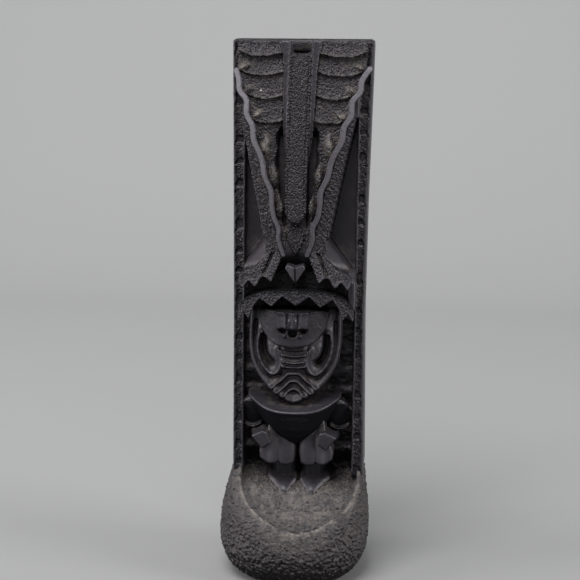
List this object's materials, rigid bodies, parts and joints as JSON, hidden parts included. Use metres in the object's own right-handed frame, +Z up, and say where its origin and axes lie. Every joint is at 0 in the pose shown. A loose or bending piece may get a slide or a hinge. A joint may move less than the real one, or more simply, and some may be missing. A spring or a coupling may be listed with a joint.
{
  "type": "tiki figure",
  "caption": "Upright carved tiki figure: a square post with a tall feathered headdress, a face and a small standing body, on a rounded rough base.",
  "frame": {"origin": "under the middle of the base, on the surface it stands on", "axes": "+Z up the post, -Y out of the carved front, +X to the right of someone facing the front"},
  "size_m": [0.068, 0.058, 0.2431],
  "materials": {
    "smooth_casting": "semi-gloss black",
    "stippled_casting": "stippled satin black with brown dust in the hollows",
    "rough_casting": "rough grainy lava texture, dusty"
  },
  "bodies": {
    "root": {"back_slab": "stippled_casting", "boulder_base": "rough_casting", "brow_beak": "smooth_casting", "centre_band": "stippled_casting", "chin": "smooth_casting", "head": "smooth_casting", "headdress_core": "stippled_casting", "left_brow": "stippled_casting", "left_crown_feather": "stippled_casting", "left_feather_1": "stippled_casting", "left_feather_2": "stippled_casting", "left_feather_3": "stippled_casting", "left_feather_4": "stippled_casting", "left_feather_5": "stippled_casting", "left_feather_6": "stippled_casting", "left_flute": "smooth_casting", "left_foot": "smooth_casting", "left_forearm": "smooth_casting", "left_inner_lip": "smooth_casting", "left_outer_band": "stippled_casting", "left_ribbon": "smooth_casting", "left_shin": "smooth_casting", "left_stile": "stippled_casting", "left_thigh": "smooth_casting", "left_upper_arm": "smooth_casting", "lip_bridge": "smooth_casting", "nose": "smooth_casting", "outer_lip": "smooth_casting", "right_brow": "stippled_casting", "right_crown_feather": "stippled_casting", "right_feather_1": "stippled_casting", "right_feather_2": "stippled_casting", "right_feather_3": "stippled_casting", "right_feather_4": "stippled_casting", "right_feather_5": "stippled_casting", "right_feather_6": "stippled_casting", "right_flute": "smooth_casting", "right_foot": "smooth_casting", "right_forearm": "smooth_casting", "right_inner_lip": "smooth_casting", "right_outer_band": "stippled_casting", "right_ribbon": "smooth_casting", "right_shin": "smooth_casting", "right_stile": "stippled_casting", "right_thigh": "smooth_casting", "right_upper_arm": "smooth_casting", "torso": "smooth_casting", "zigzag_band": "stippled_casting"}
  },
  "joints": []
}
